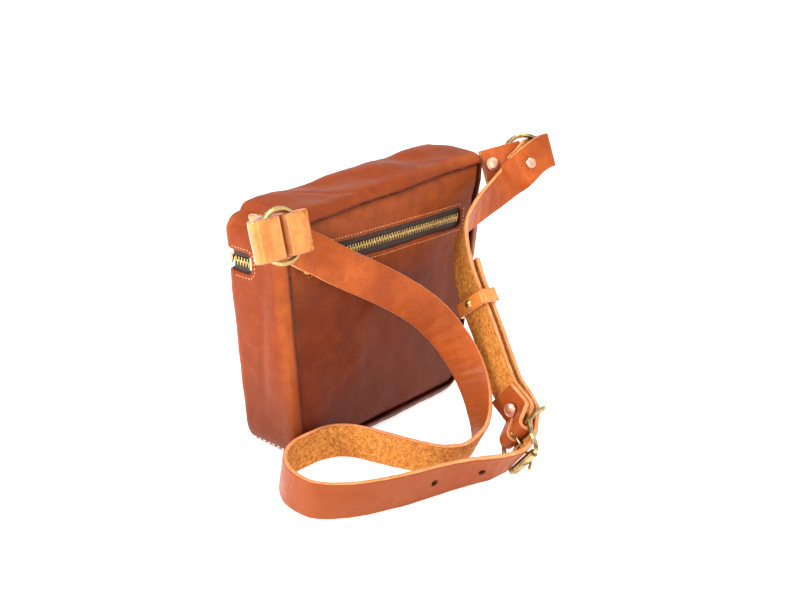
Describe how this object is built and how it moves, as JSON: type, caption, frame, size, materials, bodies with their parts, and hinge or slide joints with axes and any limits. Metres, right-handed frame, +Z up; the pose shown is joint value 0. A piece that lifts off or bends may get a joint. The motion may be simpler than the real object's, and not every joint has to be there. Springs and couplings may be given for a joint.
{
  "type": "sling bag",
  "caption": "Brown leather sling bag with a front zip, a back pocket zip, and a long orange-tan strap closed by a brass roller buckle.",
  "frame": {"origin": "centre of the pouch footprint, on the surface that it stands on", "axes": "+X along the pouch to its right end seen from the back panel, +Y from the back panel to the front panel, +Z up"},
  "size_m": [0.2802, 0.1845, 0.1963],
  "materials": {
    "bag_leather": "satin",
    "back_leather": "satin",
    "strap_leather": "satin",
    "lining": "matte",
    "zip_tape": "matte",
    "brass": "polished",
    "old_brass": "worn",
    "copper": "polished"
  },
  "bodies": {
    "pouch": {"back_panel": "back_leather", "front_panel": "bag_leather", "front_top_panel": "bag_leather", "top_panel": "bag_leather", "bottom_panel": "bag_leather", "side_gusset_left": "bag_leather", "side_gusset_right": "bag_leather", "pocket_lining": "lining", "main_zip_tape_upper": "zip_tape", "main_zip_tape_lower": "zip_tape", "pocket_zip_tape_upper": "zip_tape", "pocket_zip_tape_lower": "zip_tape", "main_zip_teeth": "brass", "pocket_zip_teeth": "brass", "main_zip_stop_left": "brass", "main_zip_stop_right": "brass", "long_strap_rivet": "brass", "keeper_rivet": "brass", "anchor_tab_left": "strap_leather", "anchor_tab_right": "strap_leather", "buckle_strap": "strap_leather", "long_strap": "strap_leather", "keeper_loop": "strap_leather", "buckle_frame": "old_brass", "tab_rivet_right": "copper", "buckle_strap_ring_rivet": "copper", "buckle_strap_fold_rivet": "copper"},
    "main_zip_slider_body": {"main_zip_slider": "brass"},
    "main_zip_puller_body": {"main_zip_puller": "brass"},
    "pocket_zip_slider_body": {"pocket_zip_slider": "brass"},
    "pocket_zip_puller_body": {"pocket_zip_puller": "brass"},
    "ring_left_body": {"ring_left": "old_brass"},
    "ring_right_body": {"ring_right": "old_brass"},
    "buckle_roller_body": {"buckle_roller": "old_brass"},
    "buckle_prong_body": {"buckle_prong": "old_brass"}
  },
  "joints": [
    {"name": "main_zip_slide", "type": "slide", "parent": "pouch", "child": "main_zip_slider_body", "axis": [-1, 0, 0], "range_m": [0, 0.13]},
    {"name": "main_zip_puller_turn", "type": "hinge", "parent": "main_zip_slider_body", "child": "main_zip_puller_body", "pos_m": [0.062, 0.02715, 0.1365], "axis": [0, 0, -1], "range_deg": [0, 170]},
    {"name": "pocket_zip_slide", "type": "slide", "parent": "pouch", "child": "pocket_zip_slider_body", "axis": [1, 0, 0], "range_m": [0, 0.128]},
    {"name": "pocket_zip_puller_turn", "type": "hinge", "parent": "pocket_zip_slider_body", "child": "pocket_zip_puller_body", "pos_m": [-0.064, -0.02715, 0.1388], "axis": [0, 0, 1], "range_deg": [0, 8]},
    {"name": "ring_left_spin", "type": "hinge", "parent": "pouch", "child": "ring_left_body", "pos_m": [-0.1134, -0.0398, 0.1657], "axis": [0, -0.9652, 0.2614], "continuous": true},
    {"name": "ring_right_spin", "type": "hinge", "parent": "pouch", "child": "ring_right_body", "pos_m": [0.127, -0.045, 0.179], "axis": [-0.6372, -0.7233, 0.2663], "continuous": true},
    {"name": "buckle_roller_spin", "type": "hinge", "parent": "pouch", "child": "buckle_roller_body", "pos_m": [-0.00467, -0.14539, 0.01541], "axis": [-0.0441, -0.6067, 0.7937], "continuous": true},
    {"name": "buckle_prong_lift", "type": "hinge", "parent": "pouch", "child": "buckle_prong_body", "pos_m": [0.006, -0.131, 0.027], "axis": [-0.0441, -0.6067, 0.7937], "range_deg": [0, 2.8]}
  ]
}
